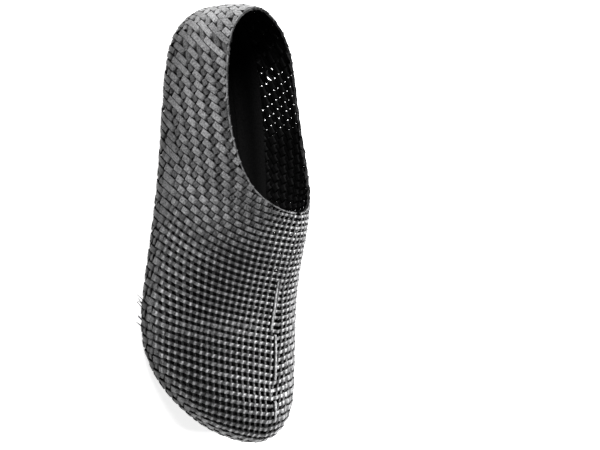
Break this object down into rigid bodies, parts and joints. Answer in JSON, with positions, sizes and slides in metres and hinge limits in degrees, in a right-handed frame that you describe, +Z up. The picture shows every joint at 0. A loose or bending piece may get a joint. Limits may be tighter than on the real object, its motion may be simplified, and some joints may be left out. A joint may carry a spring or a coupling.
{
  "type": "barefoot shoe",
  "caption": "Right-foot slip-on barefoot shoe printed as an open weave, with a wide toe, an oval collar, a flat lattice sole and a thin insole.",
  "frame": {"origin": "middle of the bounding box's base, on the floor under the tread", "axes": "+X to the toe, +Y to the inner (medial) side of the right foot, +Z up"},
  "size_m": [0.2846, 0.1114, 0.0827],
  "materials": {
    "weave": "satin",
    "tread": "satin",
    "footbed": "matte"
  },
  "bodies": {
    "root": {"upper": "weave", "sole": "tread", "insole": "footbed"}
  },
  "joints": []
}
